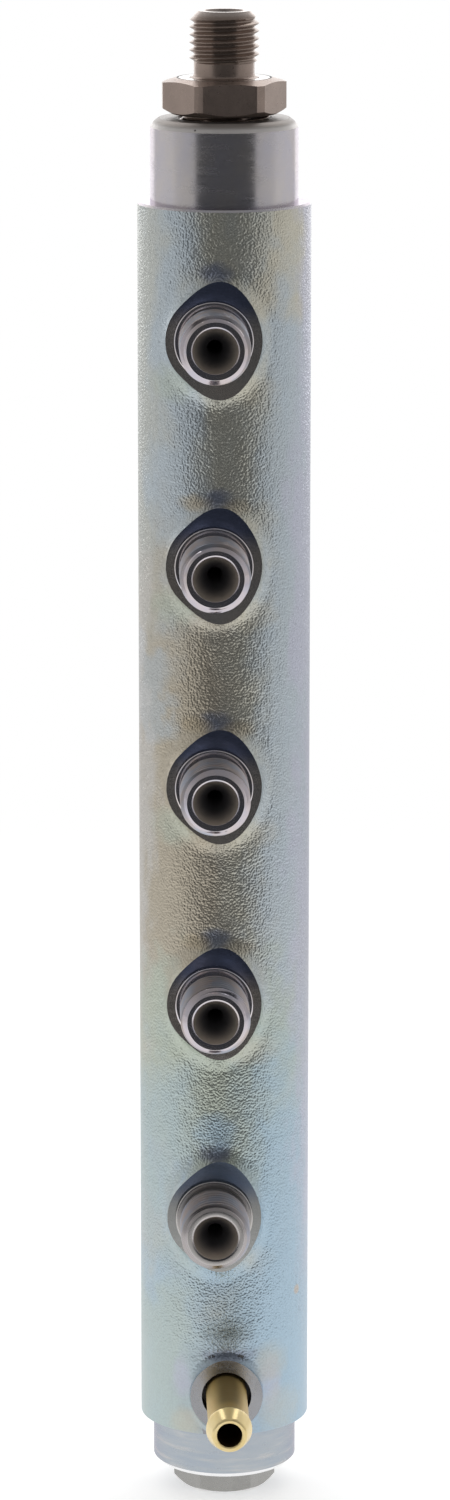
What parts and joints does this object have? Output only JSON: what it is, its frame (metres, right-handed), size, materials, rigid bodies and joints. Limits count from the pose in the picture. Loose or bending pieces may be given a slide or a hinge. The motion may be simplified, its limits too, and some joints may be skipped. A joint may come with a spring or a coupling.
{
  "type": "fuel rail",
  "caption": "Cylindrical high-pressure fuel rail with a row of threaded outlet nipples, a hexagon adapter, a pressure limiting valve and a brass return barb.",
  "frame": {"origin": "on the rail's axis at the lower shoulder, where the lower journal meets the body", "axes": "+Z along the rail's axis towards the adapter, -Y the way the outlets face"},
  "size_m": [0.0342, 0.0582, 0.3024],
  "materials": {
    "zinc_plated_forging": "zinc plated over a rough forged skin, machined at the flats, nipples and journals",
    "phosphated_steel": "dark brown phosphate over turned steel",
    "brass": "turned and bright",
    "zinc_plated_steel": "zinc plated, satin",
    "hardened_steel": "ground",
    "spring_steel": "oiled wire",
    "rubber": "matt"
  },
  "bodies": {
    "rail": {"rail_body": "zinc_plated_forging", "top_adapter": "phosphated_steel", "return_barb": "brass", "limiter_housing": "zinc_plated_steel", "limiter_seat": "hardened_steel", "limiter_shim": "hardened_steel", "limiter_o_ring": "rubber", "limiter_spring": "spring_steel"},
    "poppet": {"limiter_poppet": "hardened_steel"}
  },
  "joints": [
    {"name": "limiter_lift", "type": "slide", "parent": "rail", "child": "poppet", "axis": [0, 0, -1], "range_m": [0, 0.0008], "stiffness_N_per_m": 1000, "springref_m": -0.0001, "deforming": ["limiter_spring"]}
  ]
}
